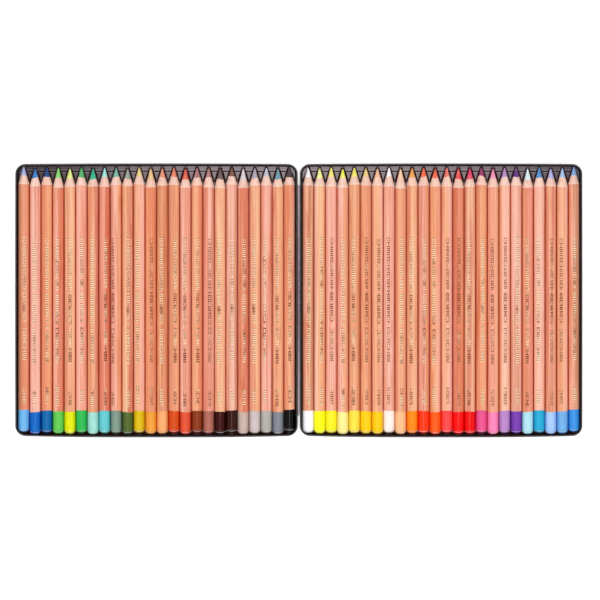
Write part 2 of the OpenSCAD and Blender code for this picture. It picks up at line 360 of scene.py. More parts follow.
# Lacquered cedar darkens by "deep" in its figure, and by a painted shade down its sides between
# two heights over the axis; bare cedar is paler
cedar = {"deep": (0.84, 0.58, 0.44, 1), "paintedFlankShade": (0.84, 0.38, 0.19, 1), "paintedShadeBelow": (1.1, 2.05),
         "bleach": (1, 0.97, 0.87, 1), "bareTint": (255, 234, 224), "barePaleness": 0.68,
         "fibre": 0.42, "pores": 0.4, "specular": 0.35, "gloss": 0.1, "glossRoughness": 0.25}
# Cedar tints, and the two slats that each pencil is glued from, left and right as it lies
cedarTints = {
    "g": (204, 119, 66), "o": (231, 133, 84), "r": (219, 105, 64), "s": (239, 146, 119),
    "t": (242, 162, 112), "p": (248, 182, 164),
}
streakTints = [(255, 222, 180), (254, 196, 178), (212, 96, 50), (236, 134, 84), (206, 128, 76),
               (255, 208, 168), (224, 112, 66)]
slats = {
    "base": "go pp ot pr ot ps or sr pt tr tp to to ot ps to sp tt pp or ot pp ot os".split(),
    "lid": "sg pt pp pt tt to tp pp ot ot ro tp tp ro ro ot st op pp os pp rr tp og".split(),
}
# Where the stamped marks lie, in degrees from the top
stampTurns = {
    "base": (10, -8, 6, -10, 4, 6, -4, 12, -34, 8, -16, 10, -8, 14, -6, 8, 12, -12, 6, 14, -10, -18, -8, 4),
    "lid": (8, 22, 6, 4, -10, 8, 14, -6, 10, -12, 6, -14, 8, 4, -10, 12, -8, 6, 12, -6, -12, 8, -14, 6),
}


def cedarMaterial(name, tints, dice, bare):
    material, tree, shader, where = newMaterial(name)
    seamAngle = math.radians(dice.uniform(-14, 14))
    ringAngle = seamAngle + math.radians(dice.uniform(-70, 70))
    tilt = dice.choice((0.004, 0.008, 0.015, 0.03)) * dice.choice((-1, 1))
    figure = useGroup(tree, cedarFigure, {
        "Where": where,
        "Seed": (dice.uniform(0, 90), dice.uniform(0, 90), dice.uniform(0, 90)),
        "Seam Side": (math.cos(seamAngle), 0, math.sin(seamAngle)),
        "Seam Shift": dice.uniform(-1.4, 1.4) * mm,
        "Ring Side": (math.cos(ringAngle), tilt, math.sin(ringAngle)),
        "Ring Gap": dice.uniform(0.16, 0.34) * mm,
        "Ring Sway": dice.uniform(0.8, 2.6) * mm,
    })
    streaky, ringed = dice.uniform(0.25, 0.6), dice.uniform(0.3, 0.6)
    flamed = dice.choice((0, 0.3, 0.6, 0.9))
    if bare:
        pale = screenColour(*cedar["bareTint"])
        tints = [mixedWith(tint, pale, cedar["barePaleness"]) for tint in tints]
        streaky, ringed, flamed = streaky * 0.6, ringed * 0.7, flamed * 0.3
    colour = blendColour(tree, figure["Slat"], tints[0], tints[1])
    colour = tinted(tree, colour, figure["Streaks"], streaky, tints[2])
    darker = blendColour(tree, 1.0, colour, cedar["deep"], "MULTIPLY")
    for part, share in (("Flames", flamed), ("Rings", ringed), ("Fibre", cedar["fibre"]),
                        ("Pores", cedar["pores"])):
        colour = tinted(tree, colour, figure[part], share, darker)
    _, along, level = axes(tree, where)
    if not bare:  # painted shade: the flanks are darker and deeper than the top
        paintedFlankShade = blendColour(tree, 1.0, colour, cedar["paintedFlankShade"], "MULTIPLY")
        colour = blendColour(tree, within(tree, level, cedar["paintedShadeBelow"], 1.0, 0.0), colour, paintedFlankShade)
    feed(tree, shader["Base Color"], colour)
    rough = calc(tree, "MULTIPLY", figure["Fibre"], 0.12)
    height = calc(tree, "SUBTRACT", figure["Fibre"], figure["Pores"])
    if bare:
        feed(tree, shader["Roughness"], calc(tree, "ADD", rough, 0.72))
        cuts = speckle(tree, where, (160, 5200, 160))
        turning = calc(tree, "SINE", calc(tree, "MULTIPLY", along, 17000.0))
        height = calc(tree, "ADD", calc(tree, "MULTIPLY", turning, 0.25),
                      calc(tree, "ADD", height, calc(tree, "MULTIPLY", cuts, 1.6)))
        bump(tree, shader, height, 0.025 * mm)
    else:
        feed(tree, shader["Roughness"], calc(tree, "ADD", rough, 0.4))
        shader["Specular IOR Level"].default_value = cedar["specular"]
        shader["Coat Weight"].default_value = cedar["gloss"]
        shader["Coat Roughness"].default_value = cedar["glossRoughness"]
        bump(tree, shader, height, 0.006 * mm)
    return material


chalkLook = {"bloom": 0.17, "rubbedPaleness": 0.24, "rubbed": 0.6, "deep": 0.97, "relief": 0.03 * mm}


def pastelMaterial(name, ink, dice):
    material, tree, shader, where = newMaterial(name)
    seed = (dice.uniform(0, 90),) * 3
    chalk = speckle(tree, where, (1400, 1400, 1400), 4.0, 0.7, seed)
    rubbed = speckle(tree, where, (500, 240, 500), seed=seed)
    # the brighter the chalk, the more white it scatters
    ink = mixedWith(ink, white, chalkLook["bloom"] * max(ink[:3]) * sum(ink[:3]) / 3)
    pale = mixedWith(ink, white, chalkLook["rubbedPaleness"])
    colour = blendColour(tree, between(tree, chalk, 0.35, 0.65), shaded(ink, chalkLook["deep"]), ink)
    colour = tinted(tree, colour, between(tree, rubbed, 0.5, 0.75), chalkLook["rubbed"], pale)
    feed(tree, shader["Base Color"], colour)
    feed(tree, shader["Roughness"], between(tree, chalk, 0.3, 0.7, 0.82, 0.98))
    shader["Specular IOR Level"].default_value = 0.3
    cuts = speckle(tree, where, (220, 4200, 220), seed=seed)
    bump(tree, shader, calc(tree, "ADD", chalk, cuts), chalkLook["relief"])
    return material


# Dips: painted shade deepens the colour down the sides, and a painted highlight pales the end's
# shoulder in an arc; heights are over the axis, and the arc is counted along the pencil and half the height
dipLook = {
    "gloss": 0.009, "pale": 1.03, "deep": 0.96, "paintedShadePower": 1.4, "paintedShadeFrom": (0.9, 3.4),
    "arcStart": (1.8, 2.05), "arcEnd": (2.25, 2.6), "arcHeight": (1.2, 2.6), "arcShare": 0.75,
    "paintedHighlightPaleness": 0.55, "smear": (0.8, 0.78, 0.76, 1), "smearShare": 0.002, "peel": 0.004 * mm,
}


def dipMaterial(name, ink, dice):
    d = dipLook
    material, tree, shader, where = newMaterial(name)
    skin = useGroup(tree, lacquerSkin, {"Where": where, "Size": 420.0})
    seed = (dice.uniform(0, 90),) * 3
    cloud = speckle(tree, where, (300, 120, 300), 3.0, seed=seed)
    ink = tuple(max(0.001, v * 1.01 - d["gloss"]) for v in ink[:3])  # less what the gloss adds
    pale = shaded(ink, d["pale"])
    # painted shade: a deeper, stronger ink for the sides
    paintedFlankShade = tuple(v ** d["paintedShadePower"] for v in ink) + (1,)
    _, along, level = axes(tree, where)
    colour = blendColour(tree, between(tree, cloud, 0.35, 0.65), shaded(ink, d["deep"]), pale)
    colour = blendColour(tree, within(tree, level, d["paintedShadeFrom"], 1.0, 0.0), colour, paintedFlankShade)
    # painted highlight: a pale arc across the end's shoulder, where the gloss would mirror the light
    shoulder = calc(tree, "ADD", along, calc(tree, "MULTIPLY", level, 0.5))
    worn = calc(tree, "MULTIPLY", within(tree, shoulder, d["arcStart"], 0.0, d["arcShare"]),
                within(tree, shoulder, d["arcEnd"], 1.0, 0.0))
    worn = calc(tree, "MULTIPLY", worn, within(tree, level, d["arcHeight"]))
    colour = blendColour(tree, worn, colour, mixedWith(pale, white, d["paintedHighlightPaleness"]))
    feed(tree, shader["Base Color"], tinted(tree, colour, skin["Smears"], d["smearShare"], d["smear"]))
    feed(tree, shader["Roughness"], between(tree, skin["Smears"], 0.0, 1.0, 0.1, 0.16))
    shader["Specular IOR Level"].default_value = 0.38
    bump(tree, shader, skin["Peel"], d["peel"])
    return material


# Foil colours in noise patches: for the foil, a pale painted reflection against the dark foil;
# for the copy beside each mark, the two tones of its painted shadow
def foilMaterial(name, colours, darkShare, seed):
    material, tree, shader, where = newMaterial(name)
    grains = speckle(tree, where, (2400, 2400, 2400), 3.0, 0.7)
    patches = speckle(tree, where, (90, 60, 90), 2.0, 0.6, (seed, seed, seed))
    mottle = calc(tree, "ADD", calc(tree, "MULTIPLY", grains, 0.45), patches)
    level = 0.725 + 0.35 * (0.5 - darkShare)
    # painted reflection: noise patches set where the pale colour lies against the dark one
    darkPart = between(tree, mottle, level - 0.06, level + 0.06)
    feed(tree, shader["Base Color"], blendColour(tree, darkPart, *colours))
    feed(tree, shader["Metallic"], between(tree, darkPart, 0.0, 1.0, 0.1, 0.0))
    feed(tree, shader["Roughness"], between(tree, grains, 0.3, 0.7, 0.45, 0.65))
    shader["Specular IOR Level"].default_value = 0.2
    bump(tree, shader, grains, 0.01 * mm)
    return material


# Rings of the dip: a rounded end, the straight side, and an uneven edge
def dipRings(s):
    r, edge, end = s["dipRadius"] * mm, s["dipLength"] * mm, -s["dipReach"] * mm
    rings = [(end + 0.03 * mm, 0, 0)]
    rings += [(end + y * mm, r - back * mm, 0) for y, back in s["dipEnd"]]
    rings += [(end + (edge - end) * k / 4, r, 0) for k in (1, 2, 3)]
    rings += [(edge - 0.14 * mm, r, 0.8), (edge - 0.04 * mm, r - 0.008 * mm, 1),
              (edge, r - 0.03 * mm, 1), (edge, r - 0.3 * mm, 1), (edge - 1 * mm, 0, 0)]
    return rings


# Radius of the sharpened surface at y, for a pencil with this cone
def coneSurface(s, length, cone):
    r, start = s["barrelRadius"] * mm, length - cone * mm
    slope = (r - s["tipRadius"] * mm) / (cone * mm)
    return lambda y: r - max(0.0, y - start) * slope


# Rings of the cedar: barrel, then the sharpened cone up to the pastel at y = bareEnd
def casingRings(s, length, cone, bareEnd):
    r, edge, start = s["barrelRadius"] * mm, s["dipLength"] * mm, length - cone * mm
    surface = coneSurface(s, length, cone)
    rings = [(edge - 1.4 * mm, 0, 0), (edge - 1.4 * mm, r - 0.02 * mm, 0), (edge, r, 0)]
    rings += [(edge + (start - edge) * k / 6, r, 0) for k in range(1, 6)]
    rings += [(start - 0.3 * mm, surface, 0.15), (start, surface, 0.2)]
    lacquered = len(rings) - 1  # spans up to here are lacquered
    steps = 9
    rings += [(start + (bareEnd - start) * k / steps, surface, 0.2 + 0.8 * k / steps)
              for k in range(1, steps + 1)]
    rings += [(bareEnd + 0.02 * mm, lambda y: surface(y) - 0.06 * mm, 1), (bareEnd - 2 * mm, 0, 0)]
    return rings, lacquered


# Rings of the pastel: from inside the cedar to the worn tip
def coreRings(s, length, cone, bareEnd, wear):
    tip = s["tipRadius"] * mm * wear
    surface = coneSurface(s, length, cone)
    lean = math.atan((s["barrelRadius"] - s["tipRadius"]) / cone)
    start, ball = bareEnd - 1.3 * mm, length - tip
    first, top = surface(start) - 0.03 * mm, ball + tip * math.sin(lean)
    rings = [(start - 0.5 * mm, 0, 0), (start - 0.5 * mm, first * 0.8, 0)]
    rings += [(start + (top - start) * k / 14, first + (tip * math.cos(lean) - first) * k / 14, 0)
              for k in range(15)]
    for k in range(1, 6):
        a = lean + (math.pi / 2 - lean) * k / 6
        rings.append((ball + tip * math.sin(a), tip * math.cos(a), 0))
    return rings + [(length, 0, 0)]


# Stamped ornament: small marks drawn as strokes, s along the pencil and t round it, in mm
marks = {
    "bar": [[(0, -1.05), (0, 1.05)]],
    "split": [[(0, -1.05), (0, -0.3)], [(0, 0.3), (0, 1.05)]],
    "short": [[(0, -0.55), (0, 0.75)]],
    "slash": [[(0, -1.0), (0.55, 1.0)]],
    "chevron": [[(0, -1.05), (0.55, 0), (0, 1.05)]],
    "hook": [[(0, -1.0), (0, 0.8), (0.6, 0.8)]],
    "pair": [[(0, -0.85), (0.7, -0.85)], [(0, 0.85), (0.7, 0.85)]],
    "dot": [[(0, -0.3), (0, 0.3)]],
}
# The order of the marks, and the bands that they fill, from and to along the pencil
markOrder = """bar pair bar split hook bar slash bar bar chevron dot bar pair split bar short hook bar
    bar slash pair bar chevron split bar dot""".split()
bands = [(18.8, 29.8), (47.0, 69.4), (72.2, 93.4), (95.2, 129.0)]
# each mark gets a second, darker copy shifted beside it: a painted shadow of the stamp's relief
foil = {
    "stroke": 0.46, "gap": 1.15, "raise": 0.02, "sink": 0.02, "step": 0.5,
    "shadowStroke": 0.34, "shadowRaise": 0.01, "shadowShift": (0.42, -0.06),
    "pale": screenColour(255, 238, 198), "worn": screenColour(104, 48, 24),
    "pressed": screenColour(136, 60, 30), "paintedPaleShadow": screenColour(214, 138, 96),
    "darkShares": (0.05, 0.2, 0.35, 0.55, 0.95),
}


# Left and right edges of a stroke, mitred at its corners
def strokeEdges(points, width, step):
    dense = []
    for (s0, t0), (s1, t1) in zip(points, points[1:]):
        n = max(1, math.ceil(abs(t1 - t0) / step))
        dense += [(s0 + (s1 - s0) * k / n, t0 + (t1 - t0) * k / n) for k in range(n)]
    dense.append(points[-1])
    edges = []
    for before, point, after in zip(dense[:1] + dense, dense, dense[1:] + dense[-1:]):
        a = Vector((point[0] - before[0], point[1] - before[1]))
        b = Vector((after[0] - point[0], after[1] - point[1]))
        a = a.normalized() if a.length else b.normalized()
        b = b.normalized() if b.length else a
        along = (a + b).normalized()
        side = Vector((-along.y, along.x))
        reach = width / 2 / max(0.45, side.dot(Vector((-a.y, a.x))))  # a sharp corner is cut short
        edges.append([(point[0] + side.x * way, point[1] + side.y * way) for way in (reach, -reach)])
    return edges


def stampMesh(s, f, dice, turn):
    points, faces, layerOf = [], [], []
    low = s["barrelRadius"] - f["sink"]
    # the second layer is the painted shadow copy of the marks
    layers = [(f["stroke"], s["barrelRadius"] + f["raise"], (0, 0)),
              (f["shadowStroke"], s["barrelRadius"] + f["shadowRaise"], f["shadowShift"])]

    def onBarrel(spot, radius):
        angle = spot[1] / s["barrelRadius"] + turn
        return (radius * math.sin(angle) * mm, spot[0] * mm, radius * math.cos(angle) * mm)

    for number, (start, stop) in enumerate(bands):
        y = start + dice.uniform(-0.7, 0.7)
        stop += dice.uniform(-2.5, 0.5) if number == 0 else 0
        k = dice.randrange(len(markOrder)) if number == 0 else 5 * number
        while y < stop:
            widest = 0
            for line in marks[markOrder[k % len(markOrder)]]:
                widest = max(widest, max(p[0] for p in line))
                for layer, (stroke, high, shift) in enumerate(layers):
                    first, before = len(points), len(faces)
                    for edges in strokeEdges(line, stroke, f["step"]):
                        a, b = ((y + p[0] + shift[0], p[1] + shift[1]) for p in edges)
                        points += [onBarrel(a, high), onBarrel(b, high), onBarrel(b, low), onBarrel(a, low)]
                    last = len(points) - 4
                    for p in range(first, last, 4):
                        faces += [(p + e, p + (e + 1) % 4, p + 4 + (e + 1) % 4, p + 4 + e) for e in range(4)]
                    faces += [(first + 3, first + 2, first + 1, first), (last, last + 1, last + 2, last + 3)]
                    layerOf += [layer] * (len(faces) - before)
            y += widest + f["gap"]
            k += 1
    return points, faces, layerOf


def setOnPencil(piece, node):
    low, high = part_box(node)
    piece.location = ((low.x + high.x) / 2, low.y, (low.z + high.z) / 2)
    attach(piece, node)
    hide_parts(node)


# each pair: the foil with its painted reflection, and the two-tone painted shadow copy
foils = [(foilMaterial(f"foil{k + 1}", (foil["pale"], foil["worn"]), share, 11.0 * k),
          foilMaterial(f"pressed{k + 1}", (foil["paintedPaleShadow"], foil["pressed"]), 1.1 - share, 7.0 * k))
         for k, share in enumerate(foil["darkShares"])]


def buildPencil(half, number):
    s = pencils
    node = f"{half}_pencil_{number:02d}"
    dice = random.Random(s["seed"] + number + (s["lidSeed"] if half == "lid" else 0))
    dipName, pastelName = sorts[half].replace("\n", " ").split(",")[number - 1].split()
    tints = [mixedWith(screenColour(*cedarTints[t]), cedar["bleach"], dice.uniform(0.1, 0.17))
             for t in slats[half][number - 1]]
    tints.append(screenColour(*dice.choice(streakTints)))
    turn = math.radians(stampTurns[half][number - 1])
    low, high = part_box(node)
    length, cone = high.y - low.y, dice.uniform(*s["coneLength"])
    core = dice.uniform(*s["coreRadius"])
    bareShare = (s["barrelRadius"] - core) / (s["barrelRadius"] - s["tipRadius"])
    bareEnd = length - cone * mm * (1 - bareShare)
    grain = dice.random()
    woods = [cedarMaterial(node + "_cedar", tints, random.Random(grain), False),
             cedarMaterial(node + "_bareCedar", tints, random.Random(grain), True)]
    rings, lacquered = casingRings(s, length, cone, bareEnd)
    points, faces, spans = lathe(rings, s["around"], roundWave(dice, *s["cutWave"]))
    casing = makePiece(node + "_cedar", points, faces, woods,
                       [0 if span < lacquered else 1 for span in spans], sharp=30)
    points, faces, _ = lathe(coreRings(s, length, cone, bareEnd, dice.uniform(0.75, 1.0)), s["coreAround"])
    pastel = makePiece(node + "_pastel", points, faces,
                       [pastelMaterial(node + "_pastel", screenColour(*palette[pastelName]), dice)])
    points, faces, _ = lathe(dipRings(s), s["around"], roundWave(dice, *s["dipWave"]))
    dip = makePiece(node + "_dip", points, faces,
                    [dipMaterial(node + "_dip", screenColour(*palette[dipName]), dice)])
    points, faces, layerOf = stampMesh(s, foil, dice, turn)
    stamp = makePiece(node + "_stamp", points, faces, dice.choice(foils), layerOf)
    for piece, slot in ((casing, "cedar"), (pastel, "pastel_core"), (dip, "pencil_dip"),
                        (stamp, "foil_stamp")):
        setOnPencil(piece, node)


for half in ("base", "lid"):
    for number in range(1, 25):
        buildPencil(half, number)
print("pencils built")


# Formed inserts, one per half
insert = {
    "axisHeight": 4.62, "channelRadius": 3.87, "pitch": 7.66, "row": 24, "cornerShift": 0.8,
    "ridgeDepth": 2.0, "landDepth": 0.8, "shelfStep": 0.1, "landStart": 78.4, "landRamp": 0.7,
    "coneStart": 79.5, "coneSlope": 3.21 / 11.3, "creaseAt": 85.625, "creaseWidth": 0.8,
    "creaseDepth": 0.85, "highlightBack": 0.8, "cornerRadius": 5.45, "edgeInset": 0.65,
    "fillet": 0.2, "sheet": 0.45, "skirtFoot": 0.95, "recessDepth": 1.8, "recessStart": 78,
    "recessRamp": 3, "trenchDepth": 3.4, "trenchStart": -87.0, "trenchRamp": 2.4, "halfMiddle": 94.26,
    "outerTips": (88.6, 89.4), "dustFrom": (79, 81), "dustAround": 81, "dustReach": (2, 4.6),
    "paintedShadeLevels": (3.0, 3.66), "paintedHighlightReach": (0.05, 0.35),
    # the sheet between two darks, and what marks it, painted highlight and painted shade among them
    "dark": screenColour(42, 38, 46), "lessDark": screenColour(50, 45, 53),
    "grained": screenColour(40, 36, 43), "worn": screenColour(150, 142, 148),
    "paintedRibHighlight": screenColour(172, 160, 167), "dust": screenColour(190, 144, 146),
    "crumbs": screenColour(214, 160, 140), "paintedChannelShade": screenColour(72, 28, 15),
    "specular": 0.72, "specularTint": (1.0, 0.86, 0.9, 1),
}


def smooth(t):
    t = min(1.0, max(0.0, t))
    return t * t * (3 - 2 * t)


# Half of one cell of the insert, from under the pencil's axis to the cell's edge;
# heights count down from the axis
def halfCell(radius, depth, width, fillet):
    radius = max(radius, depth + 0.02)
    lean = math.acos((depth + fillet) / (radius + fillet))
    reach = min(lean, math.asin(min(1.0, max(0.05, width - 0.12) / radius)))
    arc = [(radius * math.sin(reach * k / 8), -radius * math.cos(reach * k / 8)) for k in range(9)]
    centre = (radius + fillet) * math.sin(lean)
    if reach < lean:  # the land is narrower than its rounding here
        x, z = arc[-1]
        rest = [(x + (width - 0.04 - x) * k / 3, z + 0.03 * k / 3) for k in (1, 2, 3)]
    else:
        stop = math.asin(min(math.sin(lean), max(0.0, (centre - width + 0.04) / fillet)))
        turns = [lean + (stop - lean) * k / 3 for k in (1, 2, 3)]
        rest = [(centre - fillet * math.sin(a), -depth - fillet + fillet * math.cos(a)) for a in turns]
    return arc + rest + [(width, rest[-1][1])]


# How deep the level between the channels lies below the axis, at y
def levelDepth(i, y):
    rise = smooth((y - i["landStart"]) / i["landRamp"])
    depth = i["ridgeDepth"] + (i["landDepth"] - i["ridgeDepth"]) * rise
    depth += i["creaseDepth"] * max(0.0, 1 - abs(y - i["creaseAt"]) / (i["creaseWidth"] / 2))
    fall = min(1.0, max(0.0, (i["trenchStart"] - y) / i["trenchRamp"]))
    depth += (i["trenchDepth"] - i["ridgeDepth"]) * fall
    return depth + i["shelfStep"] * smooth((y - i["creaseAt"]) / 0.1)


def buildInsert(half, material):
    i = insert
    low, high = (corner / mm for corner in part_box(half + "_insert"))
    middle = (low.x + high.x) / 2
    wide, long = (high.x - low.x) / 2, (high.y - low.y) / 2
    r = i["cornerRadius"]
    ys = [-long + i["edgeInset"] + d for d in (0, 0.12, 0.26, 0.42, 0.7, 1.0, 1.3, 1.7)]
    ys += [-70, -45, -20, 5, 30, 55, 70, 76.5, 77.5]
    ys += [i["landStart"] + i["landRamp"] * k / 6 for k in range(7)]
    ys += [79.6 + 0.55 * k for k in range(10)]
    ys += [i["creaseAt"] + d for d in (-0.46, -0.4, -0.26, -0.13, 0, 0.13, 0.26, 0.4, 0.5)]
    ys += [i["creaseAt"] + 0.65 + 0.2 * k for k in range(5)]
    ys += [i["creaseAt"] + 1.9 + 0.4 * k for k in range(4)] + [long - i["edgeInset"]]
    edge, edgeRadius = i["edgeInset"] * 0.5, r - i["edgeInset"] * 0.5
    points = []
    for y in ys:
        near = edgeRadius - (long - edge - abs(y))
        inset = edgeRadius - math.sqrt(edgeRadius ** 2 - near ** 2) if near > 0 else 0
        limit = wide - edge - inset
        row = []
        wall = smooth((-long + i["edgeInset"] + 0.45 - y) / 0.4)  # the channels end in a low wall
        for cell in range(1, i["row"] + 1):
            axis = (cell - (i["row"] + 1) / 2) * i["pitch"]
            corner = cell in (1, i["row"])
            cone = i["coneStart"] + (i["cornerShift"] if corner else 0)
            radius = i["channelRadius"] - max(0.0, y - cone) * i["coneSlope"]
            depth = levelDepth(i, y)
            for side in (-1, 1):
                outer = corner and (side < 0) == (cell == 1)
                here = depth
                if outer and y > 0:  # the corner beside the outermost pencil lies lower
                    rise = smooth((y - i["recessStart"]) / i["recessRamp"])
                    here = i["ridgeDepth"] + (i["recessDepth"] - i["ridgeDepth"]) * rise
                width = limit - abs(axis) if outer else i["pitch"] / 2
                shape = halfCell(radius, here, width, i["fillet"])
                line = [(axis + side * x, i["axisHeight"] + z) for x, z in shape]
                line = line[::-1] if side < 0 else line[1:]
                if row and side < 0:
                    x, z = row[-1]
                    row[-1] = (x, (z + line[0][1]) / 2)
                    line = line[1:]
                row += line
        ridge = i["axisHeight"] - i["trenchDepth"]
        row = [(x, z + (max(z, ridge) - z) * wall) for x, z in row]
        rowLength = len(row)
        points += [[x, y, z] for x, z in row]
    rows = len(ys)
    faces = [(a + b, a + b + 1, a + b + 1 + rowLength, a + b + rowLength)
             for a in range(0, (rows - 1) * rowLength, rowLength) for b in range(rowLength - 1)]
    # Skirt: round the edge over and down to the foot, following the rounded outline
    border = list(range(rowLength))
    border += [rowLength * k + rowLength - 1 for k in range(1, rows)]
    border += [rowLength * (rows - 1) + k for k in range(rowLength - 2, -1, -1)]
    border += [rowLength * k for k in range(rows - 2, 0, -1)]
    rings, foot = [border], i["skirtFoot"]
    for out, drop in ((0.55, 0.06), (0.9, 0.22), (1.0, 0.5), (1.0, None)):
        ring = []
        for index in border:
            x, y, z = points[index]
            core = Vector((max(-wide + r, min(wide - r, x)), max(-long + r, min(long - r, y))))
            away = Vector((x, y)) - core
            spot = Vector((x, y)).lerp(core + away.normalized() * r, out)
            ring.append(len(points))
            points.append([spot.x, spot.y, foot if drop is None else max(z - drop, foot + 0.3 * (1 - out))])
        rings.append(ring)
    count = len(border)
    for inner, outer in zip(rings, rings[1:]):
        faces += [(inner[k], outer[k], outer[(k + 1) % count], inner[(k + 1) % count]) for k in range(count)]
    points = [bowed(x, y, z, wide, long, 14, middle) for x, y, z in points]
    piece = makePiece(half + "_insert_formed", points, faces, [material], sharp=60, flatLevels=True)
    skin = piece.modifiers.new("sheet", "SOLIDIFY")
    skin.thickness = i["sheet"] * mm
    skin.offset = -1
    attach(piece, half)
    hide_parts(half + "_insert")


# The drawn sides bow out a little between the corners, most at the front and not at the
# hinge; only points near the edge follow
bow = {"outer": 0.12, "front": 1.1, "rear": 0.45}


def bowed(x, y, z, wide, long, sharpness, middle):
    outer = bow["outer"] if x * middle > 0 else 0.0
    inX = outer * (y / long) ** 2 * min(1.0, abs(x) / wide) ** sharpness
    inY = bow["rear"] * (x / wide) ** 2 if y > 0 else bow["front"] * abs(x / wide) ** 3
    inY *= min(1.0, abs(y) / long) ** sharpness
    x -= math.copysign(inX, x)
    y -= math.copysign(inY, y)
    return ((x + middle) * mm, y * mm, z * mm)


def insertMaterial():
    i = insert
    material, tree, shader, where = newMaterial("formedSheet")
    dust = useGroup(tree, pastelDust, {"Where": where, "Amount": 0.5})
    wear = useGroup(tree, edgeWear, {"Where": where, "Amount": 0.6})
    grain = speckle(tree, where, (2600, 2600, 2600))
    cloud = speckle(tree, where, (45, 45, 45), 3.0)
    across, along, level = axes(tree, where)

    def awayFrom(value, place):
        return calc(tree, "ABSOLUTE", calc(tree, "SUBTRACT", value, place * mm))

    colour = blendColour(tree, between(tree, cloud, 0.3, 0.7), i["dark"], i["lessDark"])
    colour = tinted(tree, colour, grain, 0.3, i["grained"])
    colour = tinted(tree, colour, wear["Scuffs"], 0.12, i["worn"])
    colour = tinted(tree, colour, wear["Worn"], 0.25, i["worn"])
    # painted highlight: two pale lines either side of the crease, where rib edges would catch the light
    fromHighlightLine = awayFrom(awayFrom(along, i["creaseAt"]), i["highlightBack"])
    colour = blendColour(tree, within(tree, fromHighlightLine, i["paintedHighlightReach"], 0.3, 0.0), colour, i["paintedRibHighlight"])
    # pastel and cedar dust lies thickest round the tips
    tips = within(tree, awayFrom(along, i["dustAround"]), i["dustReach"], 1.0, 0.12)
    dusty = calc(tree, "MULTIPLY", between(tree, dust["Dust"], 0.0, 0.3, 0.35, 1.0), tips)
    colour = tinted(tree, colour, dusty, 0.04, i["dust"])
    colour = tinted(tree, colour, dust["Crumbs"], 0.7, i["crumbs"])
    # painted shade darkens the channels, but not the corners beside the outermost tips
    fromMiddle = awayFrom(calc(tree, "ABSOLUTE", across), i["halfMiddle"])
    inCorner = calc(tree, "MULTIPLY", within(tree, fromMiddle, i["outerTips"]),
                    within(tree, along, i["dustFrom"]))
    deepDown = calc(tree, "MULTIPLY", within(tree, level, i["paintedShadeLevels"], 1.0, 0.0),
                    calc(tree, "SUBTRACT", 1.0, inCorner))
    colour = tinted(tree, colour, deepDown, 0.85, i["paintedChannelShade"])
    feed(tree, shader["Base Color"], colour)
    feed(tree, shader["Roughness"], between(tree, grain, 0.3, 0.7, 0.11, 0.16))
    shader["Specular IOR Level"].default_value = i["specular"]
    shader["Specular Tint"].default_value = i["specularTint"]
    bump(tree, shader, grain, 0.001 * mm)
    return material


formedSheet = insertMaterial()
for half in ("base", "lid"):
    buildInsert(half, formedSheet)
print("inserts built")


# Drawn tin halves
tin = {
    "cornerRadius": 6.6, "floorRadius": 1.2, "sheet": 0.3, "curl": 1.0, "curlHeight": 8.45,
    "cornerSteps": 12, "sideSteps": 14,
    # the lacquer, and what has come onto it and through it
    "lacquer": screenColour(44, 37, 40), "smeared": screenColour(57, 50, 54),
    "scuffed": screenColour(130, 127, 128), "dusty": screenColour(180, 160, 145),
    "bareSteel": screenColour(168, 166, 164), "smears": 0.5, "scuffs": 0.35, "dust": 0.2,
    "edgeWear": 0.85, "gloss": 0.7, "glossRoughness": 0.16,
}


# Section of the wall as (distance out from the rim's outer edge, height)
def wallSection(t):
    wall = -(t["curl"] - t["sheet"])
    inner = -t["curl"]
    floor, sheet, mid = t["floorRadius"], t["sheet"], -t["curl"] / 2
    section = [(wall - floor + floor * math.sin(a), floor - floor * math.cos(a))
               for a in (math.pi / 2 * k / 6 for k in range(7))]
    section += [(wall, floor + (t["curlHeight"] - floor) * k / 4) for k in (1, 2, 3)]
    hole, rim = t["curl"] / 2 - sheet, t["curl"] / 2
    section += [(mid + hole * math.cos(a), t["curlHeight"] + hole * math.sin(a))
                for a in (math.pi - math.pi * 1.5 * k / 9 for k in range(10))]
    section += [(mid + rim * math.cos(a), t["curlHeight"] + rim * math.sin(a))
                for a in (-math.pi / 2 + math.pi * 1.5 * k / 16 for k in range(17))]
    section += [(inner, floor + (t["curlHeight"] - floor) * k / 4) for k in (3, 2, 1)]
    bend = floor - sheet
    section += [(inner - bend + bend * math.sin(a), floor - bend * math.cos(a))
                for a in (math.pi / 2 * (1 - k / 6) for k in range(7))]
    return section


def outlineAt(t, wide, long, out):
    r = t["cornerRadius"]
    line = []
    for quarter, (sx, sy) in enumerate(((1, 1), (-1, 1), (-1, -1), (1, -1))):
        cx, cy = sx * (wide - r), sy * (long - r)
        for k in range(t["cornerSteps"] + 1):
            a = math.pi / 2 * (quarter + k / t["cornerSteps"])
            line.append((cx + (r + out) * math.cos(a), cy + (r + out) * math.sin(a)))
        nx, ny = ((-1, 1), (-1, -1), (1, -1), (1, 1))[quarter]
        turn = math.pi / 2 * (quarter + 1)
        x0, y0 = line[-1]
        x1, y1 = nx * (wide - r) + (r + out) * math.cos(turn), ny * (long - r) + (r + out) * math.sin(turn)
        n = t["sideSteps"]
        line += [(x0 + (x1 - x0) * k / n, y0 + (y1 - y0) * k / n) for k in range(1, n)]
    return line


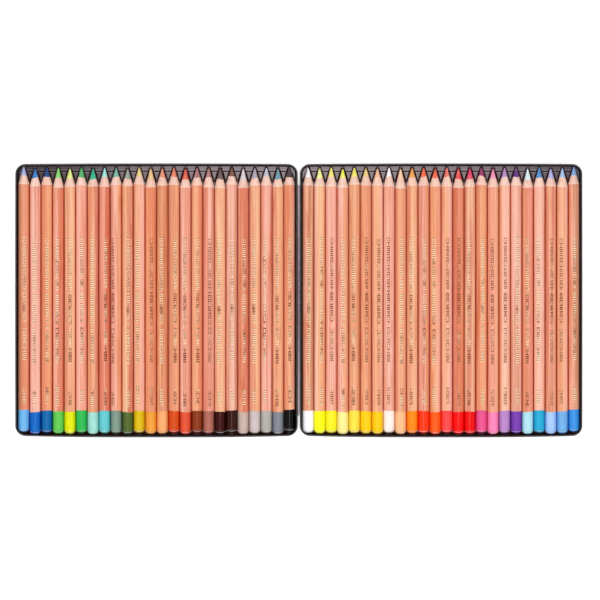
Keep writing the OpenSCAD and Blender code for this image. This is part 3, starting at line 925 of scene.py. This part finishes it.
def buildShell(half, material):
    t = tin
    low, high = (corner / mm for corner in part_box(half + "_shell"))
    middle = (low.x + high.x) / 2
    wide, long = (high.x - low.x) / 2, (high.y - low.y) / 2
    section = wallSection(t)
    points, rings = [], []
    for out, z in section:
        line = outlineAt(t, wide, long, out)
        rings.append(range(len(points), len(points) + len(line)))
        points += [bowed(x, y, z, wide, long, 2, middle) for x, y in line]
    count = len(rings[0])
    faces = []
    for a, b in zip(rings, rings[1:]):
        faces += [(a[k], a[(k + 1) % count], b[(k + 1) % count], b[k]) for k in range(count)]
    faces += [tuple(reversed(rings[0])), tuple(rings[-1])]
    piece = makePiece(half + "_shell_drawn", points, faces, [material], sharp=50)
    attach(piece, half)
    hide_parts(half + "_shell")


def tinMaterial():
    t = tin
    material, tree, shader, where = newMaterial("tinLacquer")
    skin = useGroup(tree, lacquerSkin, {"Where": where, "Size": 700.0})
    wear = useGroup(tree, edgeWear, {"Where": where, "Amount": t["edgeWear"]})
    dust = useGroup(tree, pastelDust, {"Where": where, "Amount": 0.25})
    base = tinted(tree, t["lacquer"], skin["Smears"], t["smears"], t["smeared"])
    base = tinted(tree, base, wear["Scuffs"], t["scuffs"], t["scuffed"])
    base = tinted(tree, base, dust["Dust"], t["dust"], t["dusty"])
    feed(tree, shader["Base Color"], blendColour(tree, wear["Worn"], base, t["bareSteel"]))
    feed(tree, shader["Metallic"], calc(tree, "MULTIPLY", wear["Worn"], 0.9))
    feed(tree, shader["Roughness"], between(tree, skin["Smears"], 0.0, 1.0, 0.32, 0.42))
    shader["Coat Weight"].default_value = t["gloss"]
    shader["Coat Roughness"].default_value = t["glossRoughness"]
    bump(tree, shader, skin["Peel"], 0.012 * mm)
    return material


tinLacquer = tinMaterial()
for half in ("base", "lid"):
    buildShell(half, tinLacquer)
print("tin halves built")


# Hinge: the leaves and the wire keep their CAD shape and get their finish; each has its
# bright colour, its darker colour for the painted shade and the scale of its drawing lines
hinge = {
    "leaf": (screenColour(214, 208, 218), screenColour(128, 118, 134), (900, 60, 900)),
    "wire": (screenColour(214, 210, 214), screenColour(140, 134, 140), (2400, 40, 2400)),
    "shadeReach": (10, 75), "shadeShare": 0.85,
}


def plateMaterial(name, bright, shadedTone, drawnAlong):
    material, tree, shader, where = newMaterial(name)
    lines = speckle(tree, where, drawnAlong, 3.0, 0.6)
    spots = speckle(tree, where, (700, 260, 700), 4.0, 0.65)
    # painted shade: the middle is darker, broken up in spots
    fromMiddle = calc(tree, "ABSOLUTE", axes(tree, where)[1])
    middleShade = calc(tree, "MULTIPLY", within(tree, fromMiddle, hinge["shadeReach"], 1.0, 0.0),
                   between(tree, spots, 0.25, 0.6))
    feed(tree, shader["Base Color"], tinted(tree, bright, middleShade, hinge["shadeShare"], shadedTone))
    shader["Metallic"].default_value = 1.0
    feed(tree, shader["Roughness"], between(tree, lines, 0.3, 0.7, 0.28, 0.45))
    bump(tree, shader, lines, 0.01 * mm)
    return material


tinplate = plateMaterial("tinplate", *hinge["leaf"])
wire = plateMaterial("hingeWire", *hinge["wire"])
for node, material in (("base_hinge_leaf", tinplate), ("lid_hinge_leaf", tinplate), ("hinge_pin", wire)):
    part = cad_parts[node]
    part.data.materials.clear()
    part.data.materials.append(material)
print("hinge finished")


# Pale floor: for the camera it is lifted to white, and it keeps the shadow
stage = {"size": 3.0, "drop": 0.05 * mm, "lift": 0.74, "paper": (0.80, 0.84), "paperSeen": 0.45}


def floorMaterial():
    material, tree, shader, where = newMaterial("paper")
    rays = put(tree, "LightPath").outputs
    seen = calc(tree, "MAXIMUM", rays["Is Camera Ray"], rays["Is Glossy Ray"])
    fibres = speckle(tree, where, (900, 900, 900), 3.0)
    shader["Roughness"].default_value = 0.9
    shader["Specular IOR Level"].default_value = 0.0
    sheet = blendColour(tree, fibres, *(shaded(white, level) for level in stage["paper"]))
    feed(tree, shader["Base Color"], blendColour(tree, seen, sheet, shaded(white, stage["paperSeen"])))
    shader["Emission Color"].default_value = white
    feed(tree, shader["Emission Strength"], calc(tree, "MULTIPLY", seen, stage["lift"]))
    bump(tree, shader, fibres, 0.01 * mm)
    return material


corners = [(x * stage["size"], y * stage["size"], -stage["drop"])
           for x, y in ((-1, -1), (1, -1), (1, 1), (-1, 1))]
floor = makePiece("floor", corners, [(0, 1, 2, 3)], [floorMaterial()])

# Soft dome, darker towards the horizon; what is seen or mirrored is white, with a greyer ceiling
dome = {"horizon": 0.51, "zenith": 0.55, "ceiling": 0.1, "glow": (0.05, 0.35)}
world = bpy.data.worlds.new("studio")
bpy.context.scene.world = world
world.use_nodes = True
tree = world.node_tree
tree.nodes.clear()
height = axes(tree, put(tree, "TexCoord").outputs["Generated"])[2]
rays = put(tree, "LightPath").outputs
mirrored = calc(tree, "MAXIMUM", rays["Is Glossy Ray"], rays["Is Transmission Ray"])
lit = between(tree, height, 0.0, 1.0, dome["horizon"], dome["zenith"])
glow = between(tree, height, *dome["glow"], 1.0, dome["ceiling"])
strength = put(tree, "Mix", {0: mirrored, 2: lit, 3: glow}, data_type="FLOAT").outputs[0]
strength = put(tree, "Mix", {0: rays["Is Camera Ray"], 2: strength, 3: 1.0}, data_type="FLOAT").outputs[0]
back = put(tree, "Background", {"Color": white, "Strength": strength})
tree.links.new(back.outputs[0], put(tree, "OutputWorld").inputs["Surface"])

# Softboxes: name, place, size across and up, power in watts
softboxes = [
    ("overhead", (0.01, 0.05, 2.6), (0.5, 0.5), 3.6),
    ("leftSide", (-2.4, -0.9, 2.3), (3.0, 2.0), 5.0),
    ("rightSide", (2.4, -0.9, 2.3), (3.0, 2.0), 5.0),
    ("front", (0.0, -1.25, 2.4), (3.0, 1.0), 31.5),
    ("back", (0.0, 1.3, 2.4), (1.6, 0.6), 16.0),
]
for name, place, size, power in softboxes:
    lamp = bpy.data.lights.new(name, "AREA")
    lamp.shape = "RECTANGLE"
    lamp.size, lamp.size_y = size
    lamp.energy = power
    box = bpy.data.objects.new(name, lamp)
    box.location = place
    box.rotation_euler = (-Vector(place)).to_track_quat("-Z", "Y").to_euler()
    bpy.context.scene.collection.objects.link(box)
bpy.context.scene.view_settings.view_transform = "Standard"
print("stage lit")
